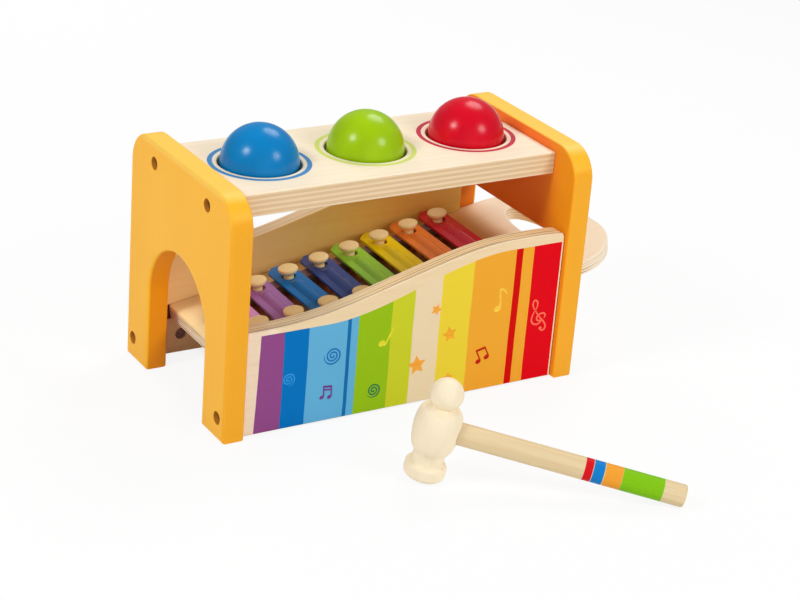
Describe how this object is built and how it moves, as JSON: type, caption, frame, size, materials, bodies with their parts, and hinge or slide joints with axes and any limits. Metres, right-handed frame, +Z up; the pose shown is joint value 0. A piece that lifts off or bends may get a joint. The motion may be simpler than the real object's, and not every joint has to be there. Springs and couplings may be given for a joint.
{
  "type": "pounding xylophone bench",
  "caption": "Wooden pounding bench toy: balls sit in ringed holes over a sloping xylophone that slides out by its handle, with a wooden hammer lying in front.",
  "frame": {"origin": "middle of the underside of the whole set's bounding box, bench and hammer, on the floor", "axes": "+X along the bench towards the xylophone's handle, +Y from the printed front towards the rear, +Z up"},
  "size_m": [0.2792, 0.2908, 0.1598],
  "materials": {
    "orange_paint": "satin orange paint on wood",
    "birch_plywood": "clear satin lacquer on birch plywood",
    "ball_blue": "glossy paint",
    "ball_green": "glossy paint",
    "ball_red": "glossy paint",
    "grip_rubber": "matte",
    "fastener_steel": "dark bronze plating",
    "felt": "matte felt",
    "peg_wood": "satin clear lacquer",
    "hammer_head_wood": "satin clear lacquer",
    "hammer_handle_wood": "satin clear lacquer with painted bands",
    "bar_pink": "satin enamel",
    "bar_purple": "satin enamel",
    "bar_blue": "satin enamel",
    "bar_navy": "satin enamel",
    "bar_green": "satin enamel",
    "bar_yellow": "satin enamel",
    "bar_orange": "satin enamel",
    "bar_red": "satin enamel"
  },
  "bodies": {
    "bench": {"left_side_panel": "orange_paint", "right_side_panel": "orange_paint", "top_board": "birch_plywood", "front_panel": "birch_plywood", "rear_panel": "birch_plywood", "grip_ring_blue": "grip_rubber", "grip_ring_green": "grip_rubber", "grip_ring_red": "grip_rubber", "bolt_left_top_front": "fastener_steel", "barrel_nut_left_top_front": "fastener_steel", "bolt_left_low_front": "fastener_steel", "barrel_nut_left_low_front": "fastener_steel", "bolt_left_top_rear": "fastener_steel", "barrel_nut_left_top_rear": "fastener_steel", "bolt_left_low_rear": "fastener_steel", "barrel_nut_left_low_rear": "fastener_steel", "bolt_right_top_front": "fastener_steel", "barrel_nut_right_top_front": "fastener_steel", "bolt_right_low_front": "fastener_steel", "barrel_nut_right_low_front": "fastener_steel", "bolt_right_top_rear": "fastener_steel", "barrel_nut_right_top_rear": "fastener_steel", "bolt_right_low_rear": "fastener_steel", "barrel_nut_right_low_rear": "fastener_steel"},
    "xylophone": {"xylophone_board": "birch_plywood", "front_rail": "birch_plywood", "rear_rail": "birch_plywood", "front_felt_strip": "felt", "rear_felt_strip": "felt", "bar_pink": "bar_pink", "peg_pink_front": "peg_wood", "peg_pink_rear": "peg_wood", "bar_purple": "bar_purple", "peg_purple_front": "peg_wood", "peg_purple_rear": "peg_wood", "bar_blue": "bar_blue", "peg_blue_front": "peg_wood", "peg_blue_rear": "peg_wood", "bar_navy": "bar_navy", "peg_navy_front": "peg_wood", "peg_navy_rear": "peg_wood", "bar_green": "bar_green", "peg_green_front": "peg_wood", "peg_green_rear": "peg_wood", "bar_yellow": "bar_yellow", "peg_yellow_front": "peg_wood", "peg_yellow_rear": "peg_wood", "bar_orange": "bar_orange", "peg_orange_front": "peg_wood", "peg_orange_rear": "peg_wood", "bar_red": "bar_red", "peg_red_front": "peg_wood", "peg_red_rear": "peg_wood"},
    "ball_blue": {"ball_blue": "ball_blue"},
    "ball_green": {"ball_green": "ball_green"},
    "ball_red": {"ball_red": "ball_red"},
    "hammer": {"hammer_head": "hammer_head_wood", "hammer_handle": "hammer_handle_wood"}
  },
  "joints": [
    {"name": "xylophone_slide", "type": "slide", "parent": "bench", "child": "xylophone", "axis": [0.9869, 0, 0.1611], "range_m": [0, 0.215]},
    {"name": "ball_blue_drop", "type": "slide", "parent": "bench", "child": "ball_blue", "axis": [0, 0, 1], "range_m": [-0.0655, 0.04], "deforming": ["grip_ring_blue"]},
    {"name": "ball_green_drop", "type": "slide", "parent": "bench", "child": "ball_green", "axis": [0, 0, 1], "range_m": [-0.0543, 0.04], "deforming": ["grip_ring_green"]},
    {"name": "ball_red_drop", "type": "slide", "parent": "bench", "child": "ball_red", "axis": [0, 0, 1], "range_m": [-0.0432, 0.04], "deforming": ["grip_ring_red"]},
    {"name": "hammer_lift", "type": "slide", "parent": "bench", "child": "hammer", "axis": [0, 0, 1], "range_m": [0, 0.15]}
  ]
}
